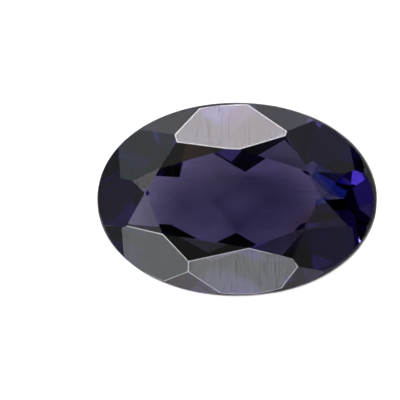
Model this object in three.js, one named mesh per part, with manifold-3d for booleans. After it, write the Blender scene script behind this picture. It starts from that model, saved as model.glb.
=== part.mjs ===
// A loose oval gemstone of violet-blue iolite, cut with flat facets, in millimetres with +Z up.
// The stone is worked out table up, with its length along X, and then laid down on the flat
// facet beside its keel, the way a loose stone rests on a table.

import * as THREE from 'three';
import { mergeVertices } from 'three/addons/utils/BufferGeometryUtils.js';
import Module from 'manifold-3d';

// Size of the stone seen from above its table.
const LENGTH = 6.5;
const WIDTH = 4.5;

// Heights, measured from the upper edge of the girdle.
const CROWN_HEIGHT = 0.52;
const GIRDLE_HEIGHT = 0.28;
const PAVILION_DEPTH = 1.923;

// The outline is a little fuller than an ellipse, whose power is 2.
const OUTLINE_POWER = 2.06;
const OUTLINE_STEPS = 96;

// The ground edge is rounded. Each row gives a height and how far the edge lies inside the
// widest outline there.
const GIRDLE_PROFILE = [
  { height: -2.4, inset: 0.12 },
  { height: -0.3, inset: 0.012 },
  { height: -0.17, inset: 0 },
  { height: -0.08, inset: 0.018 },
  { height: 0.02, inset: 0.07 },
  { height: 0.7, inset: 0.45 },
];

// The ground edge leans, so more of it shows on the right and at the front.
// This is the shift of the edge for each millimetre of inset.
const GIRDLE_LEAN = { x: -0.6, y: 0.2 };

// The crown's eight large facets, clockwise from the back as seen from above.
// corner is where the facet touches the table, azimuth the way it faces and angle its slope.
// seam is the short edge shared with the next large facet, from its inner to its outer end.
// rim holds the two places where the edges of the facet between them reach the girdle.
const CROWN = {
  back: {
    corner: [0.07, 1.147], corner_before: [-0.31, 1.135], azimuth: 87.5, angle: 27,
    seam: [[1.13, 1.465], [1.165, 1.57]], rim: [[0.29, 2.17], [1.78, 1.83]],
  },
  back_right: {
    corner: [1.65, 0.64], azimuth: 55.5, angle: 26.5,
    seam: [[2.46, 0.64], [2.74, 0.615]], rim: [[2.6, 1.31], [3.11, 0.57]],
  },
  right: {
    corner: [1.92, 0.05], azimuth: -6, angle: 23.5,
    seam: [[2.55, -0.64], [2.65, -0.71]], rim: [[3.09, -0.59], [2.73, -1.1]],
  },
  front_right: {
    corner: [1.53, -0.67], azimuth: -47, angle: 25,
    seam: [[1.31, -1.35], [1.4, -1.555]], rim: [[2.04, -1.66], [1.01, -2.07]],
  },
  front: {
    corner: [0.27, -1.11], azimuth: -87, angle: 27.5,
    seam: [[-1.13, -1.43], [-1.17, -1.67]], rim: [[-0.36, -2.19], [-1.59, -1.85]],
  },
  front_left: {
    corner: [-1.72, -0.8], azimuth: -122.5, angle: 31,
    seam: [[-2.55, -0.65], [-2.65, -0.7]], rim: [[-2.63, -1.18], [-3.09, -0.59]],
  },
  left: {
    corner: [-2.12, 0.16], azimuth: 174, angle: 26,
    seam: [[-2.4, 0.6], [-2.69, 0.52]], rim: [[-3.15, 0.37], [-2.74, 1.14]],
  },
  back_left: {
    corner: [-1.79, 0.72], azimuth: 138.5, angle: 29.5,
    seam: [[-1.41, 1.32], [-1.47, 1.49]], rim: [[-2.22, 1.61], [-0.85, 2.14]],
  },
};

// The pavilion's eight steep facets lie under those of the crown and run in from the girdle.
// tip is where each one ends towards the middle.
const PAVILION = {
  back: { azimuth: 94, angle: 50.2, tip: [0.2, 0.65], keel_end: 'right' },
  back_right: { azimuth: 45, angle: 49.3, tip: [1.58, 0.62], keel_end: 'right' },
  right: { azimuth: -3, angle: 52.2, tip: [2.25, 0.05], keel_end: 'right' },
  front_right: { azimuth: -47, angle: 45.3, tip: [1.47, -0.6], keel_end: 'right' },
  front: { azimuth: -90.5, angle: 53.5, tip: [-0.01, -0.78], keel_end: 'left' },
  front_left: { azimuth: -136, angle: 48.6, tip: [-1.68, -0.67], keel_end: 'left' },
  left: { azimuth: 170.5, angle: 41.7, tip: [-2.05, 0.14], keel_end: 'left' },
  back_left: { azimuth: 135, angle: 41.6, tip: [-1.36, 0.53], keel_end: 'left' },
};

// The keel is the short lowest edge of the stone, where the flattest facets meet.
const KEEL = { left: [-0.61, 0.01], right: [0.88, 0.01] };

// How far in from the girdle, as a share of the way to the middle, the small facets under the
// girdle reach.
const BREAK_REACH = 0.24;

// Real facets seldom meet in a point. Where more than three would, some of them stop this far
// short of it, which leaves a very short edge.
const FACET_MISS = 0.004;

// Side of the block that is taken off by each facet, larger than the stone.
const LAP_SIZE = 20;

// Corners of a shape closer together than this are one corner.
const SAME_CORNER = 1e-5;

const UP = 1;
const DOWN = -1;

const crown = Object.values(CROWN);

const wasm = await Module();
wasm.setup();

// The point of the widest outline in the direction given by a turn.
function outlinePoint(turn) {
  const power = 2 / OUTLINE_POWER;
  const along = Math.sign(Math.cos(turn)) * Math.abs(Math.cos(turn)) ** power;
  const across = Math.sign(Math.sin(turn)) * Math.abs(Math.sin(turn)) ** power;
  return new THREE.Vector2(along * LENGTH / 2, across * WIDTH / 2);
}

// Moves a point of the plan straight out from the middle to the widest outline.
function onOutline([x, y]) {
  const along = Math.abs(x / (LENGTH / 2)) ** OUTLINE_POWER;
  const across = Math.abs(y / (WIDTH / 2)) ** OUTLINE_POWER;
  const reach = (along + across) ** (1 / OUTLINE_POWER);
  return [x / reach, y / reach];
}

// The facet through a point, facing an azimuth and sloping by an angle from level.
function facetAt(point, azimuth, angle, side) {
  const turn = THREE.MathUtils.degToRad(azimuth);
  const slope = THREE.MathUtils.degToRad(angle);
  const normal = new THREE.Vector3(
    Math.cos(turn) * Math.sin(slope),
    Math.sin(turn) * Math.sin(slope),
    side * Math.cos(slope),
  );
  return new THREE.Plane().setFromNormalAndCoplanarPoint(normal, point);
}

// The facet through three points, facing up or down.
function facetThrough(first, second, third, side) {
  const plane = new THREE.Plane().setFromCoplanarPoints(first, second, third);
  if (plane.normal.z * side < 0) {
    plane.negate();
  }
  return plane;
}

function stopShort(facet) {
  facet.constant -= FACET_MISS;
  return facet;
}

// The point of a facet above or below a point of the plan.
function onFacet(facet, [x, y]) {
  const height = -(facet.constant + facet.normal.x * x + facet.normal.y * y) / facet.normal.z;
  return new THREE.Vector3(x, y, height);
}

// The point of the edge between two facets that is nearest, in plan, to a given point.
function onEdge(first, second, [x, y]) {
  const here = onFacet(first, [x, y]);
  const there = onFacet(second, [x, y]);
  const slope = new THREE.Vector2(
    second.normal.x / second.normal.z - first.normal.x / first.normal.z,
    second.normal.y / second.normal.z - first.normal.y / first.normal.z,
  );
  slope.multiplyScalar((there.z - here.z) / slope.lengthSq());
  return onFacet(first, [x + slope.x, y + slope.y]);
}

function crownFacets() {
  const large = crown.map(({ corner, azimuth, angle }) => {
    const touch = new THREE.Vector3(...corner, CROWN_HEIGHT);
    return stopShort(facetAt(touch, azimuth, angle, UP));
  });
  const table = new THREE.Plane(new THREE.Vector3(0, 0, 1), -CROWN_HEIGHT);
  const facets = [table, ...large];
  crown.forEach(({ corner, seam, rim }, index) => {
    const next = (index + 1) % crown.length;
    const nextCorner = crown[next].corner_before ?? crown[next].corner;
    const inner = onEdge(large[index], large[next], seam[0]);
    const outer = onEdge(large[index], large[next], seam[1]);
    const star = facetThrough(
      new THREE.Vector3(...corner, CROWN_HEIGHT),
      new THREE.Vector3(...nextCorner, CROWN_HEIGHT),
      inner,
      UP,
    );
    const besideGirdle = facetThrough(
      outer,
      onFacet(large[index], rim[0]),
      onFacet(large[next], rim[1]),
      UP,
    );
    facets.push(star, besideGirdle);
  });
  return facets;
}

function pavilionFacets() {
  const names = Object.keys(PAVILION);
  const rows = Object.values(PAVILION);
  const rimBefore = (index) => onOutline(crown.at(index - 1).rim[1]);
  const rimAfter = (index) => onOutline(crown[index].rim[0]);
  const steep = rows.map(({ azimuth, angle }, index) => {
    const [before, after] = [rimBefore(index), rimAfter(index)];
    const middle = new THREE.Vector3(
      (before[0] + after[0]) / 2,
      (before[1] + after[1]) / 2,
      -GIRDLE_HEIGHT,
    );
    return facetAt(middle, azimuth, angle, DOWN);
  });
  const keelHeight = -GIRDLE_HEIGHT - PAVILION_DEPTH;
  const keel = {
    left: new THREE.Vector3(...KEEL.left, keelHeight),
    right: new THREE.Vector3(...KEEL.right, keelHeight),
  };
  const tips = rows.map(({ tip }, index) => onFacet(steep[index], tip));
  const facets = [...steep];
  rows.forEach(({ keel_end: end }, index) => {
    const next = (index + 1) % rows.length;
    const [from, to] = [rimAfter(index), rimBefore(next)];
    const reach = [
      (1 - BREAK_REACH) * (from[0] + to[0]) / 2,
      (1 - BREAK_REACH) * (from[1] + to[1]) / 2,
    ];
    const underGirdle = facetThrough(
      onFacet(steep[index], from),
      onFacet(steep[next], to),
      onEdge(steep[index], steep[next], reach),
      DOWN,
    );
    const besideKeel = stopShort(facetThrough(tips[index], tips[next], keel[end], DOWN));
    facets.push(underGirdle, besideKeel);
  });
  const tipOf = (name) => tips[names.indexOf(name)];
  const behindKeel = facetThrough(tipOf('back'), keel.left, keel.right, DOWN);
  const resting = facetThrough(tipOf('front'), keel.left, keel.right, DOWN);
  return { facets: [...facets, behindKeel, resting], resting };
}

// A closed solid from a closed geometry.
function solidFrom(geometry) {
  geometry.deleteAttribute('normal');
  geometry.deleteAttribute('uv');
  const merged = mergeVertices(geometry, SAME_CORNER);
  const mesh = new wasm.Mesh({
    numProp: 3,
    vertProperties: new Float32Array(merged.attributes.position.array),
    triVerts: new Uint32Array(merged.index.array),
  });
  return new wasm.Manifold(mesh);
}

// The uncut stone: a rod of the outline whose rings of points follow the girdle's profile. Each
// point is brought in towards the middle by its ring's inset, and along with the edge's lean.
function blankSolid() {
  const turns = Array.from({ length: OUTLINE_STEPS }, (_, step) => 2 * Math.PI * step / OUTLINE_STEPS);
  const rings = GIRDLE_PROFILE.length;
  const rod = new THREE.ExtrudeGeometry(
    new THREE.Shape(turns.map(outlinePoint)),
    { depth: rings - 1, steps: rings - 1, bevelEnabled: false },
  );
  const position = rod.attributes.position;
  for (let index = 0; index < position.count; index += 1) {
    const { height, inset } = GIRDLE_PROFILE[Math.round(position.getZ(index))];
    const x = position.getX(index) * (1 - inset / (LENGTH / 2)) + GIRDLE_LEAN.x * inset;
    const y = position.getY(index) * (1 - inset / (WIDTH / 2)) + GIRDLE_LEAN.y * inset;
    position.setXYZ(index, x, y, height);
  }
  return solidFrom(rod);
}

// The block that lies outside a facet.
function outsideOf(facet) {
  const block = new THREE.BoxGeometry(LAP_SIZE, LAP_SIZE, LAP_SIZE);
  block.translate(0, 0, LAP_SIZE / 2);
  const turn = new THREE.Quaternion().setFromUnitVectors(new THREE.Vector3(0, 0, 1), facet.normal);
  block.applyQuaternion(turn);
  const foot = facet.coplanarPoint(new THREE.Vector3());
  block.translate(foot.x, foot.y, foot.z);
  return solidFrom(block);
}

function geometryFrom(solid) {
  const { vertProperties, triVerts } = solid.getMesh();
  const geometry = new THREE.BufferGeometry();
  geometry.setAttribute('position', new THREE.BufferAttribute(new Float32Array(vertProperties), 3));
  geometry.setIndex(new THREE.BufferAttribute(new Uint32Array(triVerts), 1));
  return geometry;
}

const iolite = new THREE.MeshStandardMaterial({ color: 0x453d70, roughness: 0.05, metalness: 0 });

const pavilion = pavilionFacets();
let stone = blankSolid();
for (const facet of [...crownFacets(), ...pavilion.facets]) {
  stone = stone.subtract(outsideOf(facet));
}

const mesh = new THREE.Mesh(geometryFrom(stone), iolite);
mesh.name = 'iolite_stone';

// Lay the stone on its resting facet, and stand the middle of its box on the origin.
mesh.quaternion.setFromUnitVectors(pavilion.resting.normal, new THREE.Vector3(0, 0, -1));
mesh.updateMatrixWorld(true);
const box = new THREE.Box3().setFromObject(mesh, true);
const middle = box.getCenter(new THREE.Vector3());
mesh.position.set(-middle.x, -middle.y, -box.min.z);

const model = new THREE.Group();
model.add(mesh);

export default model;
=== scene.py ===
import math

import bmesh
import bpy
from mathutils import Matrix, Vector


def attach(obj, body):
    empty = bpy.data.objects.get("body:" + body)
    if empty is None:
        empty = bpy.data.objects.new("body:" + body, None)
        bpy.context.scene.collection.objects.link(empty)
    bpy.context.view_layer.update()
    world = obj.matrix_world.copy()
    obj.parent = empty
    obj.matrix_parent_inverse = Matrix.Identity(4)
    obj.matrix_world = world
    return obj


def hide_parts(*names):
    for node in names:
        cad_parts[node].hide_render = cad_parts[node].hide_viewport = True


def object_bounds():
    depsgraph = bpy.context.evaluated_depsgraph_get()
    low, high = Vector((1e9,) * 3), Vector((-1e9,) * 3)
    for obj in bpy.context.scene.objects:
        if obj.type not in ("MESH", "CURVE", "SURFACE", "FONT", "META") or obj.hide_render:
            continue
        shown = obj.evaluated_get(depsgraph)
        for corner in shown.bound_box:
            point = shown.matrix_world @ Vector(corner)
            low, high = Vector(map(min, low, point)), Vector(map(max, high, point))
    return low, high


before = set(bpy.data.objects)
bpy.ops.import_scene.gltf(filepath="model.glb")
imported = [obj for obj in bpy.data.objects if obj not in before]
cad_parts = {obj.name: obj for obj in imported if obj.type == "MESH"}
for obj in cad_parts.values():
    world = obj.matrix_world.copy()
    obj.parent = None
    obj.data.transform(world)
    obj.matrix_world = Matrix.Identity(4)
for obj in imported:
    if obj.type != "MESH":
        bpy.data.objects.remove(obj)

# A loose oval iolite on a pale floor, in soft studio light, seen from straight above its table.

MM = 0.001
NODE = "iolite_stone"
CAD_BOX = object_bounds()
WHITE = (1, 1, 1)

# The photograph is 400 pixels across. The stone is 280 of them long, and its middle is here,
# counted from the top left corner.
PICTURE_PIXELS = 400
STONE_PIXELS = 280
STONE_MIDDLE_PIXEL = (237, 199.5)

# How far the camera is from the stone and how far it sees, in metres, and the width of its
# sensor in millimetres.
CAMERA_DISTANCE = 150 * MM
CAMERA_SIGHT = 10
SENSOR_WIDTH = 36

# How often a ray of light may be reflected or pass through a surface.
BOUNCES = 24

# Corners of the CAD mesh closer together than this, in millimetres, are one corner. Its triangles
# are one face where they meet at less than this angle, and so are those of the worn stone.
SAME_CORNER = 2e-4
SAME_FACE = math.radians(0.1)
SAME_WORN_FACE = math.radians(0.05)

# Only faces whose normal points up by more than this can be the table.
TABLE_UP = 0.5

# How far a facet's edge is worn in from its sharp edge, in millimetres.
EDGE_WEAR = 0.006

# Three large crown facets have whitish, abraded edges. Each row gives a place in plan that the
# facet is above, in millimetres, how far its edge is worn in, and how scratched it is.
ABRADED = [((0.2, 1.6), 0.022, 0.12), ((-2.0, -1.2), 0.009, 0.0), ((0.0, -1.6), 0.012, 0.3)]

# When a polygon's edges are moved in, an edge shorter than this, in millimetres, is passed over,
# and a polygon left with fewer corners than this is dropped.
SHORTEST_EDGE = 1e-6
FEWEST_CORNERS = 3

# A face of the worn stone whose normal is closer than this to a facet's lies in that facet.
FLAT = math.radians(0.5)

# Faces of the ground edge are steeper than any facet. They begin at these slopes from the table's
# plane, for faces that look up and for those that look down.
GROUND_SLOPE_UP = math.radians(46)
GROUND_SLOPE_DOWN = math.radians(70)

# Corners of the ground edge that agree to this many decimals of a millimetre are one. Each is
# moved towards the stone's middle by a little, in millimetres.
GROUND_DECIMALS = 3
GROUND_INSET = 0.002

# What a corner of the ground edge has in place of a facet's number.
GROUND = -1

# The material slots after the first, which is for polished faces.
GROUND_SLOT = 1
WORN_SLOT = 2

# What the stone takes out of red, green and blue light, per metre. The volume's colour is one
# minus each of them over the density, which is higher than all three.
ABSORPTION = (720, 800, 460)
ABSORPTION_DENSITY = 900
STONE_IOR = 1.54

# Round patches of tint on the polished facets, painted reflections and painted shade which stand in
# for light and dark reflected inside the stone: a centre in plan, the distances at which the tint
# begins to fade and ends, in millimetres, and the tint.
ROUND_PAINTED_REFLECTIONS = [
    ((2.0, -1.0), 0.55, 0.95, (1.0, 0.68, 0.52)),
    ((-1.3, -0.1), 0.0, 1.0, (0.5, 0.5, 0.55)),
    ((-0.4, 0.65), 0.0, 0.9, (0.72, 0.76, 0.66)),
    ((-0.7, -1.68), 0.2, 0.7, (0.5, 0.5, 0.3)),
    ((0.3, 1.75), 0.4, 0.75, (0.75, 0.42, 0.22)),
    ((-3.1, -0.05), 0.1, 0.6, (1.0, 0.45, 0.3)),
]

# Patches with straight edges, painted reflections which do the same at the right end: an outline in
# plan, counter-clockwise in millimetres, and a tint. An edge fades over this distance on either side.
STRAIGHT_PAINTED_REFLECTIONS = [
    ([(1.72, 0.5), (2.15, 0.08), (2.6, 0.0), (2.62, 0.25), (2.3, 0.66), (1.9, 0.92)], (0.07, 0.13, 1.0)),
    ([(1.81, -0.05), (1.85, -0.25), (2.18, -0.23), (2.18, -0.05), (2.0, 0.06)], (0.12, 0.2, 1.0)),
]
PATCH_EDGE = 0.02

# Crown facets with a tint of their own, painted shade which does the same: a place in plan that
# each is above, in millimetres, and its tint.
FACET_PAINTED_SHADE = [
    ((-1.11, 1.06), (0.03, 0.008, 0.001)),
    ((-0.9, -1.15), (0.12, 0.12, 0.05)),
    ((0.93, 1.05), (0.42, 0.5, 0.45)),
]

# Noise is in millimetres. Squeezing it by a factor along an axis makes it finer along that axis.
EVENLY = (1, 1, 1)

# Polished facets have uneven colour, long faint veils, and streaks that are rougher where a facet
# is scratched. A range holds the values of the noise between which its effect sets in.
UNEVEN_NOISE = {"scale": 1.1, "detail": 2}
UNEVEN_RANGE = (0.4, 0.6)
UNEVEN_TINT = (0.9, 0.9, 0.95)
VEIL_NOISE = {"scale": 1.0, "detail": 3, "squeeze": (0.8, 14, 1)}
VEIL_RANGE = (0.5, 0.75)
VEIL_TINT = (0.8, 0.8, 0.82)
STREAK_NOISE = {"scale": 1.0, "detail": 3, "squeeze": (30, 1.6, 1.6)}
STREAK_HEIGHT = 0.00005
FAINT_STREAK_RANGE = (0.5, 0.8)
FAINT_STREAK_ROUGHNESS = 0.2
STRONG_STREAK_RANGE = (0.4, 0.66)
STRONG_STREAK_ROUGHNESS = 0.4

# The ground edge is pale in two tones up to its widest line and dark above it, a painted shade, by
# the heights over that line at which the shade begins and is complete, in millimetres. It is all
# dark around one point of the outline, also painted shade, and brownish around another: a centre
# in plan, and the distances at which the tone begins to fade and ends.
PALE_GROUND = ((0.3, 0.27, 0.27), (0.55, 0.51, 0.5))
PALE_GROUND_NOISE = {"scale": 1.6, "detail": 3}
PALE_GROUND_RANGE = (0.4, 0.6)
GROUND_PAINTED_SHADE = (0.01, 0.01, 0.012)
GROUND_PAINTED_SHADE_HEIGHTS = (0.075, 0.095)
GROUND_PAINTED_SHADE_CENTRE = (-2.4, 1.9)
GROUND_PAINTED_SHADE_REACH = (1.9, 3.4)
BROWN_GROUND = (0.09, 0.06, 0.05)
BROWN_GROUND_CENTRE = (3.3, -0.05)
BROWN_GROUND_REACH = (0.3, 0.9)
GROUND_TRANSMISSION = 0.15
GROUND_SPECULAR = 0.04

# The grain of the ground edge and of the worn edges. Its height is in millimetres, and each pair
# of roughnesses belongs to the two ends of the range.
GRAIN_RANGE = (0.3, 0.7)
GROUND_GRAIN = {"scale": 28.0, "detail": 4, "roughness": 0.7}
GROUND_GRAIN_HEIGHT = 0.004
GROUND_ROUGHNESS = (0.35, 0.6)
WORN_GRAIN = {"scale": 40.0, "detail": 3, "roughness": 0.6}
WORN_GRAIN_HEIGHT = 0.001
WORN_ROUGHNESS = (0.25, 0.45)

# The worn edges are whitish, in two tones.
WORN_TRANSMISSION = 0.1
WORN_TONE_RANGE = (0.35, 0.65)
WORN_TONE = (0.82, 0.82, 0.84)

# The length of the floor's sides and how far it lies below the stone, in metres.
FLOOR_SIZE = 1.2
FLOOR_GAP = 0.008 * MM
FLOOR_ALBEDO = 0.9
FLOOR_ROUGHNESS = 0.9
FLOOR_SPECULAR = 0.1

# The floor is a sheet that glows with painted light around the stone, which fills in its shadow,
# and a little under its middle. Distances are shares of the way from the middle to the stone's outline.
PAINTED_GLOW_AROUND = 0.75
PAINTED_GLOW_AROUND_REACH = (0.8, 1.0)
PAINTED_GLOW_MIDDLE = 0.25
PAINTED_GLOW_MIDDLE_REACH = 0.45

# Factors along each axis that keep a distance in plan as it is and leave out its height.
IN_PLAN = (1, 1, 0)

# The numbers of the sockets for colours on a Mix node, which share their names with others.
MIX_COLOURS = (6, 7)
MIX_RESULT = 2

# Each softbox: name, azimuth counter-clockwise from +X, elevation, width and height in degrees
# as the stone sees it, radiance, and colour. All are this far from the stone, in metres.
LIGHT_DISTANCE = 240 * MM
SOFTBOXES = [
    ("back", 90, 40, 26, 18, 8.2, (1.0, 0.93, 1.0)),
    ("back_low", 80, 17, 26, 14, 1.3, (0.9, 0.92, 1.0)),
    ("back_left_low", 112, 7, 26, 12, 1.0, (0.95, 0.95, 1.0)),
    ("front", 275, 35, 18, 18, 3.3, (0.95, 0.97, 1.0)),
    ("front_left", 237, 27, 22, 16, 2.4, (0.92, 0.98, 1.0)),
    ("front_low", 255, 7, 18, 10, 1.3, (1.0, 0.93, 1.0)),
    ("front_right_low", 294, 18, 16, 12, 0.6, (1.0, 0.9, 0.95)),
    ("left_back", 139, 32, 18, 16, 0.8, (0.85, 0.95, 1.0)),
    ("left_high", 151, 50, 14, 12, 1.8, (1.0, 0.95, 1.0)),
    ("left", 175, 38, 14, 14, 0.15, (1.0, 0.85, 0.9)),
    ("right_back", 55, 38, 18, 14, 0.22, (0.8, 0.72, 1.0)),
    ("right_front_high", 330, 51, 14, 12, 0.28, (1.0, 0.82, 0.95)),
    ("left_front_high", 207, 63, 13, 12, 0.9, (1.0, 0.95, 1.0)),
    ("overhead_left", 135, 64, 40, 12, 2.5, (1.0, 1.0, 1.0)),
    ("overhead_back", 108, 79, 14, 12, 0.38, (1.0, 0.96, 0.92)),
    ("overhead_front", 260, 61, 12, 10, 0.16, (1.0, 1.0, 1.0)),
    ("left_low", 157, 7, 14, 10, 24.0, (1.0, 1.0, 1.0)),
]

# The studio's walls, as radiance at some heights in degrees above the horizon. They darken to
# black on the right, between two values of how far a direction points along +X.
WORLD_COLOUR = (0.92, 0.94, 1.0)
WORLD_STEPS = ((0, 0.85), (12, 0.4), (45, 0.22), (66, 0.02))
WORLD_DARK_SIDE = (0.55, 0.7)


def facet_polygons():
    """The node's faces as flat polygons in millimetres: a list of (corners, normal)."""
    mesh = bmesh.new()
    mesh.from_mesh(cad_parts[NODE].data)
    bmesh.ops.scale(mesh, vec=(1 / MM,) * 3, verts=mesh.verts)
    bmesh.ops.remove_doubles(mesh, verts=mesh.verts, dist=SAME_CORNER)
    bmesh.ops.dissolve_limit(mesh, angle_limit=SAME_FACE, verts=mesh.verts, edges=mesh.edges)
    polygons = []
    for face in mesh.faces:
        polygons.append(([corner.co.copy() for corner in face.verts], face.normal.copy()))
    mesh.free()
    return polygons


def area_of(corners):
    """The area of a flat polygon."""
    total = Vector()
    for first, second in zip(corners[1:], corners[2:]):
        total += (first - corners[0]).cross(second - corners[0])
    return total.length / 2


def largest_facing_up(polygons):
    """The normal of the largest polygon that faces up."""
    facing_up = [polygon for polygon in polygons if polygon[1].z > TABLE_UP]
    return max(facing_up, key=lambda polygon: area_of(polygon[0]))[1]


POLYGONS = facet_polygons()
TABLE_NORMAL = largest_facing_up(POLYGONS)


def slope_of(normal):
    """The angle between a face and the table's plane."""
    return math.acos(max(-1.0, min(1.0, abs(normal.dot(TABLE_NORMAL)))))


def is_ground(normal):
    """Is a face with this normal part of the ground edge, rather than a polished facet?"""
    faces_up = normal.dot(TABLE_NORMAL) > 0
    return slope_of(normal) > (GROUND_SLOPE_UP if faces_up else GROUND_SLOPE_DOWN)


def facet_above(place):
    """The number of the crown facet that is above a place in plan."""
    for number, (corners, normal) in enumerate(POLYGONS):
        sides = zip(corners, corners[1:] + corners[:1])
        turns = [(end - start).to_2d().cross(Vector(place) - start.to_2d()) for start, end in sides]
        if normal.z > 0 and min(turns) >= 0:
            return number
    raise ValueError(f"no facet is above {place}")


WORN_IN = {facet_above(place): wear for place, wear, _ in ABRADED}
SCRATCHED = {facet_above(place): amount for place, _, amount in ABRADED}
# Each tinted facet's painted shade, by the facet's number.
FACET_SHADE_TINTS = {facet_above(place): painted_tint for place, painted_tint in FACET_PAINTED_SHADE}


def moved_in(corners, normal, distance):
    """A convex polygon with each of its edges moved in, within its plane, by a distance."""
    kept = list(corners)
    for start, end in zip(corners, corners[1:] + corners[:1]):
        if (end - start).length < SHORTEST_EDGE:
            continue
        inward = normal.cross(end - start).normalized()
        depth = [(corner - start).dot(inward) - distance for corner in kept]
        clipped = []
        for index, corner in enumerate(kept):
            after = (index + 1) % len(kept)
            if depth[index] >= 0:
                clipped.append(corner)
            if depth[index] * depth[after] < 0:
                share = depth[index] / (depth[index] - depth[after])
                clipped.append(corner.lerp(kept[after], share))
        kept = clipped
        if len(kept) < FEWEST_CORNERS:
            return []
    return kept


def worn_corners():
    """The worn stone's corners in millimetres: a list of (place, normal, facet's number).

    A corner belongs to one facet and has its normal, so the narrow faces between facets shade as
    rounded edges. Corners of the ground edge share the normal of the faces around them.
    """
    corners = []
    ground = {}
    for number, (polygon, normal) in enumerate(POLYGONS):
        if is_ground(normal):
            for corner in polygon:
                key = tuple(round(value, GROUND_DECIMALS) for value in corner)
                ground.setdefault(key, [corner, Vector()])[1] += normal * area_of(polygon)
        else:
            wear = WORN_IN.get(number, EDGE_WEAR)
            corners += [(corner, normal, number) for corner in moved_in(polygon, normal, wear)]
    middle = sum((corner for corner, _ in ground.values()), Vector()) / len(ground)
    for corner, normal in ground.values():
        inner = corner + (middle - corner).normalized() * GROUND_INSET
        corners.append((inner, normal.normalized(), GROUND))
    return corners


def stone_mesh():
    """The stone with every facet's edge worn round: the hull of the facets, each a little smaller.

    Its faces hold the painted shade tint and the scratches of the facet that they lie in. Ground faces
    and the whitish edges have material slots of their own.
    """
    corners = worn_corners()
    hull = bmesh.new()
    number = hull.verts.layers.int.new("number")
    painted_tint = hull.faces.layers.float_vector.new("painted_tint")
    scratched = hull.faces.layers.float.new("scratched")
    for index, corner in enumerate(corners):
        hull.verts.new(corner[0])[number] = index
    bmesh.ops.convex_hull(hull, input=hull.verts)
    loose = [vert for vert in hull.verts if not vert.link_faces]
    bmesh.ops.delete(hull, geom=loose, context="VERTS")
    bmesh.ops.dissolve_limit(hull, angle_limit=SAME_WORN_FACE, verts=hull.verts, edges=hull.edges)
    bmesh.ops.triangulate(hull, faces=hull.faces)
    hull.normal_update()
    order = [vert[number] for vert in hull.verts]
    for face in hull.faces:
        owners = {corners[vert[number]][2] for vert in face.verts}
        facets = owners - {GROUND}
        flat = [facet for facet in facets if face.normal.angle(POLYGONS[facet][1]) < FLAT]
        # Each face takes its facet's tint of painted shade.
        face[painted_tint] = FACET_SHADE_TINTS.get(flat[0], WHITE) if flat else WHITE
        face[scratched] = SCRATCHED.get(flat[0], 0) if flat else 0
        if not facets:
            face.material_index = GROUND_SLOT
        elif not flat and facets & set(WORN_IN):
            face.material_index = WORN_SLOT
        face.smooth = True
    bmesh.ops.scale(hull, vec=(MM,) * 3, verts=hull.verts)
    mesh = bpy.data.meshes.new("iolite")
    hull.to_mesh(mesh)
    hull.free()
    mesh.normals_split_custom_set_from_vertices([corners[index][1] for index in order])
    return mesh


def iolite_material(name, transmission):
    """Clear iolite: what passes through it is coloured by absorption along its way."""
    material = bpy.data.materials.new(name)
    material.use_nodes = True
    tree = material.node_tree
    shader = tree.nodes["Principled BSDF"]
    shader.inputs["Transmission Weight"].default_value = transmission
    shader.inputs["IOR"].default_value = STONE_IOR
    volume = tree.nodes.new("ShaderNodeVolumeAbsorption")
    volume.inputs["Color"].default_value = (*(1 - value / ABSORPTION_DENSITY for value in ABSORPTION), 1)
    volume.inputs["Density"].default_value = ABSORPTION_DENSITY
    tree.links.new(volume.outputs["Volume"], tree.nodes["Material Output"].inputs["Volume"])
    return material, tree, shader


def noise(tree, scale, detail, roughness=0.5, squeeze=EVENLY):
    """Noise in the stone's own millimetres, squeezed by a factor along each axis."""
    place = tree.nodes.new("ShaderNodeTexCoord")
    mapping = tree.nodes.new("ShaderNodeMapping")
    mapping.inputs["Scale"].default_value = [factor / MM for factor in squeeze]
    texture = tree.nodes.new("ShaderNodeTexNoise")
    texture.inputs["Scale"].default_value = scale
    texture.inputs["Detail"].default_value = detail
    texture.inputs["Roughness"].default_value = roughness
    tree.links.new(place.outputs["Object"], mapping.inputs["Vector"])
    tree.links.new(mapping.outputs["Vector"], texture.inputs["Vector"])
    return texture.outputs["Fac"]


def ramp(tree, value, low, high, to_low=0, to_high=1):
    """A value carried from one range to another, and held at the ends of both."""
    node = tree.nodes.new("ShaderNodeMapRange")
    node.inputs["From Min"].default_value = low
    node.inputs["From Max"].default_value = high
    node.inputs["To Min"].default_value = to_low
    node.inputs["To Max"].default_value = to_high
    tree.links.new(value, node.inputs["Value"])
    return node.outputs["Result"]


def bump(tree, shader, relief, height):
    """Gives a shader's surface a relief, whose height is in millimetres."""
    node = tree.nodes.new("ShaderNodeBump")
    node.inputs["Distance"].default_value = height * MM
    tree.links.new(relief, node.inputs["Height"])
    tree.links.new(node.outputs["Normal"], shader.inputs["Normal"])


def calculated(tree, operation, first, second):
    """The result of a calculation with two sockets."""
    node = tree.nodes.new("ShaderNodeMath")
    node.operation = operation
    tree.links.new(first, node.inputs[0])
    tree.links.new(second, node.inputs[1])
    return node.outputs["Value"]


def along(tree, towards):
    """How far a point lies along a direction, in millimetres."""
    place = tree.nodes.new("ShaderNodeTexCoord")
    reach = tree.nodes.new("ShaderNodeVectorMath")
    reach.operation = "DOT_PRODUCT"
    reach.inputs[1].default_value = towards / MM
    tree.links.new(place.outputs["Object"], reach.inputs[0])
    return reach.outputs["Value"]


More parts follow.
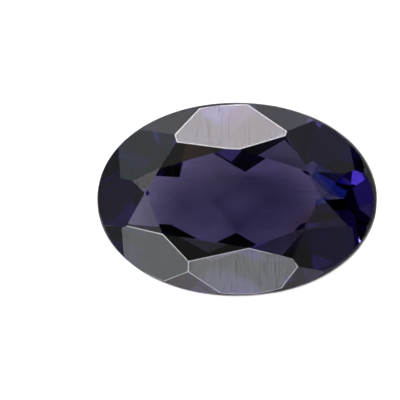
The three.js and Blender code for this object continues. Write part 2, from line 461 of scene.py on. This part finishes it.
def near(tree, centre, inner, outer, factors=IN_PLAN):
    """1 within a distance of a point, fading to 0 further out.

    Distances are in millimetres, times a factor along each axis.
    """
    place = tree.nodes.new("ShaderNodeTexCoord")
    mapping = tree.nodes.new("ShaderNodeMapping")
    mapping.inputs["Scale"].default_value = [factor / MM for factor in factors]
    start = (*centre, 0)
    mapping.inputs["Location"].default_value = [-part * factor for part, factor in zip(start, factors)]
    length = tree.nodes.new("ShaderNodeVectorMath")
    length.operation = "LENGTH"
    tree.links.new(place.outputs["Object"], mapping.inputs["Vector"])
    tree.links.new(mapping.outputs["Vector"], length.inputs[0])
    return ramp(tree, length.outputs["Value"], inner, outer, 1, 0)


def within(tree, outline):
    """1 inside an outline in plan, counter-clockwise in millimetres, and 0 outside."""
    depths = []
    for start, end in zip(outline, outline[1:] + outline[:1]):
        inward = Vector((start[1] - end[1], end[0] - start[0], 0)).normalized()
        edge = inward.dot(Vector((*start, 0)))
        depths.append(ramp(tree, along(tree, inward), edge - PATCH_EDGE, edge + PATCH_EDGE))
    least = depths[0]
    for depth in depths[1:]:
        least = calculated(tree, "MINIMUM", least, depth)
    return least


def attribute(tree, name, output):
    """What the mesh holds for each face under a name."""
    node = tree.nodes.new("ShaderNodeAttribute")
    node.attribute_name = name
    return node.outputs[output]


def mixed(tree, factor, first, second):
    """A colour between two, each a colour or a socket."""
    node = tree.nodes.new("ShaderNodeMix")
    node.data_type = "RGBA"
    tree.links.new(factor, node.inputs["Factor"])
    for number, value in zip(MIX_COLOURS, (first, second)):
        if isinstance(value, tuple):
            node.inputs[number].default_value = (*value, 1)
        else:
            tree.links.new(value, node.inputs[number])
    return node.outputs[MIX_RESULT]


def polished_colour(tree):
    """Uneven colour with veils, painted reflections and shade in patches, times the facet's tint of
    painted shade.
    """
    unevenness = ramp(tree, noise(tree, **UNEVEN_NOISE), *UNEVEN_RANGE)
    colour = mixed(tree, unevenness, WHITE, UNEVEN_TINT)
    veils = ramp(tree, noise(tree, **VEIL_NOISE), *VEIL_RANGE)
    colour = mixed(tree, veils, colour, VEIL_TINT)
    # Painted reflections and painted shade, in round and straight patches.
    for centre, inner, outer, painted_tint in ROUND_PAINTED_REFLECTIONS:
        colour = mixed(tree, near(tree, centre, inner, outer), colour, painted_tint)
    for outline, painted_tint in STRAIGHT_PAINTED_REFLECTIONS:
        colour = mixed(tree, within(tree, outline), colour, painted_tint)
    # Times each facet's tint of painted shade.
    tinted = tree.nodes.new("ShaderNodeVectorMath")
    tinted.operation = "MULTIPLY"
    tree.links.new(colour, tinted.inputs[0])
    tree.links.new(attribute(tree, "painted_tint", "Vector"), tinted.inputs[1])
    return tinted.outputs["Vector"]


def polished_material():
    """Facets polished by hand: fine straight streaks with a faint relief, and uneven colour with painted
    reflections and shade.
    """
    material, tree, shader = iolite_material("iolite_polished", 1)
    tree.links.new(polished_colour(tree), shader.inputs["Base Color"])
    streaks = noise(tree, **STREAK_NOISE)
    faint = ramp(tree, streaks, *FAINT_STREAK_RANGE, 0, FAINT_STREAK_ROUGHNESS)
    strong = ramp(tree, streaks, *STRONG_STREAK_RANGE, 0, STRONG_STREAK_ROUGHNESS)
    wear = tree.nodes.new("ShaderNodeMix")
    tree.links.new(attribute(tree, "scratched", "Fac"), wear.inputs["Factor"])
    tree.links.new(faint, wear.inputs["A"])
    tree.links.new(strong, wear.inputs["B"])
    tree.links.new(wear.outputs["Result"], shader.inputs["Roughness"])
    bump(tree, shader, streaks, STREAK_HEIGHT)
    return material


def ground_material():
    """Frosted, finely ground stone: pale up to its widest line, and painted shade above it."""
    material, tree, shader = iolite_material("iolite_ground", GROUND_TRANSMISSION)
    shader.inputs["Specular IOR Level"].default_value = GROUND_SPECULAR

    paleness = ramp(tree, noise(tree, **PALE_GROUND_NOISE), *PALE_GROUND_RANGE)
    colour = mixed(tree, paleness, *PALE_GROUND)
    brown = near(tree, BROWN_GROUND_CENTRE, *BROWN_GROUND_REACH)
    colour = mixed(tree, brown, colour, BROWN_GROUND)
    corners = [corner for polygon, _ in POLYGONS for corner in polygon]
    widest = max(corners, key=lambda corner: corner.x).dot(TABLE_NORMAL)
    # Painted shade: the ground edge is dark above its widest line.
    begins, complete = (widest + rise for rise in GROUND_PAINTED_SHADE_HEIGHTS)
    shade_above = ramp(tree, along(tree, TABLE_NORMAL), begins, complete)
    colour = mixed(tree, shade_above, colour, GROUND_PAINTED_SHADE)
    # Painted shade: all dark around one point of the outline.
    shade_side = near(tree, GROUND_PAINTED_SHADE_CENTRE, *GROUND_PAINTED_SHADE_REACH)
    colour = mixed(tree, shade_side, colour, GROUND_PAINTED_SHADE)
    tree.links.new(colour, shader.inputs["Base Color"])

    grain = noise(tree, **GROUND_GRAIN)
    tree.links.new(ramp(tree, grain, *GRAIN_RANGE, *GROUND_ROUGHNESS), shader.inputs["Roughness"])
    bump(tree, shader, grain, GROUND_GRAIN_HEIGHT)
    return material


def worn_material():
    """Abraded edges: whitish and rough, so they show as thin bright lines."""
    material, tree, shader = iolite_material("iolite_worn", WORN_TRANSMISSION)
    grain = noise(tree, **WORN_GRAIN)
    pale = mixed(tree, ramp(tree, grain, *WORN_TONE_RANGE), WORN_TONE, WHITE)
    tree.links.new(pale, shader.inputs["Base Color"])
    tree.links.new(ramp(tree, grain, *GRAIN_RANGE, *WORN_ROUGHNESS), shader.inputs["Roughness"])
    bump(tree, shader, grain, WORN_GRAIN_HEIGHT)
    return material


def make_stone():
    """The stone, with a material in each of its slots, in place of the CAD node."""
    gem = bpy.data.objects.new("iolite", stone_mesh())
    bpy.context.scene.collection.objects.link(gem)
    gem.data.materials.append(polished_material())
    gem.data.materials.append(ground_material())
    gem.data.materials.append(worn_material())
    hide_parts(NODE)
    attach(gem, "root")


def make_floor():
    """A pale sheet with a painted glow around the stone and a little under its middle."""
    bpy.ops.mesh.primitive_plane_add(size=FLOOR_SIZE, location=(0, 0, -FLOOR_GAP))
    floor = bpy.context.object
    floor.name = "floor"
    material = bpy.data.materials.new("floor")
    material.use_nodes = True
    tree = material.node_tree
    shader = tree.nodes["Principled BSDF"]
    shader.inputs["Base Color"].default_value = (FLOOR_ALBEDO, FLOOR_ALBEDO, FLOOR_ALBEDO, 1)
    shader.inputs["Roughness"].default_value = FLOOR_ROUGHNESS
    shader.inputs["Specular IOR Level"].default_value = FLOOR_SPECULAR
    shader.inputs["Emission Color"].default_value = (*WHITE, 1)
    half_length, half_width = (side / MM for side in CAD_BOX[1][:2])
    shares = (1 / half_length, 1 / half_width, 0)
    # Painted light: the floor glows around the stone and a little under its middle.
    under_stone = near(tree, (0, 0), *PAINTED_GLOW_AROUND_REACH, factors=shares)
    under_middle = near(tree, (0, 0), 0, PAINTED_GLOW_MIDDLE_REACH, factors=shares)
    around = ramp(tree, under_stone, 0, 1, PAINTED_GLOW_AROUND, 0)
    middle = ramp(tree, under_middle, 0, 1, 0, PAINTED_GLOW_MIDDLE)
    tree.links.new(calculated(tree, "ADD", around, middle), shader.inputs["Emission Strength"])
    floor.data.materials.append(material)


def direction(azimuth, elevation):
    """The unit vector towards an azimuth and an elevation in degrees."""
    turn = math.radians(azimuth)
    rise = math.radians(elevation)
    flat = math.cos(rise)
    return Vector((flat * math.cos(turn), flat * math.sin(turn), math.sin(rise)))


def softbox(name, azimuth, elevation, width, height, radiance, colour):
    """A rectangular light that faces the stone, and that the camera doesn't see."""
    light = bpy.data.lights.new(name, "AREA")
    light.shape = "RECTANGLE"
    light.size = 2 * LIGHT_DISTANCE * math.tan(math.radians(width) / 2)
    light.size_y = 2 * LIGHT_DISTANCE * math.tan(math.radians(height) / 2)
    light.energy = radiance * math.pi * light.size * light.size_y
    light.color = colour
    lamp = bpy.data.objects.new(name, light)
    towards = direction(azimuth, elevation)
    lamp.location = towards * LIGHT_DISTANCE
    lamp.rotation_euler = towards.to_track_quat("Z", "Y").to_euler()
    lamp.visible_camera = False
    bpy.context.scene.collection.objects.link(lamp)


def make_world():
    """Studio walls: pale near the horizon, almost black overhead and dark on the right."""
    world = bpy.data.worlds.new("studio")
    world.use_nodes = True
    tree = world.node_tree
    background = tree.nodes["Background"]
    background.inputs["Color"].default_value = (*WORLD_COLOUR, 1)
    place = tree.nodes.new("ShaderNodeTexCoord")
    split = tree.nodes.new("ShaderNodeSeparateXYZ")
    tree.links.new(place.outputs["Generated"], split.inputs["Vector"])
    heights = tree.nodes.new("ShaderNodeValToRGB")
    tree.links.new(split.outputs["Z"], heights.inputs["Fac"])
    stops = heights.color_ramp.elements
    for index, (elevation, radiance) in enumerate(WORLD_STEPS):
        position = math.sin(math.radians(elevation))
        stop = stops[index] if index < len(stops) else stops.new(position)
        stop.position = position
        stop.color = (radiance, radiance, radiance, 1)
    lit_side = ramp(tree, split.outputs["X"], *WORLD_DARK_SIDE, 1, 0)
    strength = calculated(tree, "MULTIPLY", heights.outputs["Color"], lit_side)
    tree.links.new(strength, background.inputs["Strength"])
    bpy.context.scene.world = world


def make_camera():
    """A long lens that looks down the table's normal, framed as the photograph is."""
    right = Vector((1, 0, 0))
    up = TABLE_NORMAL.cross(right).normalized()
    right = up.cross(TABLE_NORMAL)
    corners = [corner * MM for polygon, _ in POLYGONS for corner in polygon]
    across = [corner.dot(right) for corner in corners]
    along_up = [corner.dot(up) for corner in corners]
    widest = corners[across.index(max(across))]
    middle = right * (max(across) + min(across)) / 2 + up * (max(along_up) + min(along_up)) / 2
    middle += TABLE_NORMAL * widest.dot(TABLE_NORMAL)
    pixel = (max(across) - min(across)) / STONE_PIXELS
    aim = middle - right * (STONE_MIDDLE_PIXEL[0] - PICTURE_PIXELS / 2) * pixel
    aim += up * (STONE_MIDDLE_PIXEL[1] - PICTURE_PIXELS / 2) * pixel
    data = bpy.data.cameras.new("camera")
    data.sensor_width = SENSOR_WIDTH
    data.lens = SENSOR_WIDTH * CAMERA_DISTANCE / (PICTURE_PIXELS * pixel)
    data.clip_start = MM
    data.clip_end = CAMERA_SIGHT
    camera = bpy.data.objects.new("camera", data)
    turn = Matrix((right, up, TABLE_NORMAL)).transposed().to_4x4()
    camera.matrix_world = Matrix.Translation(aim + TABLE_NORMAL * CAMERA_DISTANCE) @ turn
    bpy.context.scene.collection.objects.link(camera)
    bpy.context.scene.camera = camera


make_stone()
make_floor()
for row in SOFTBOXES:
    softbox(*row)
make_world()
make_camera()

scene = bpy.context.scene
scene.view_settings.view_transform = "Standard"
scene.cycles.max_bounces = BOUNCES
scene.cycles.transmission_bounces = BOUNCES
scene.cycles.glossy_bounces = BOUNCES
scene.cycles.use_denoising = True
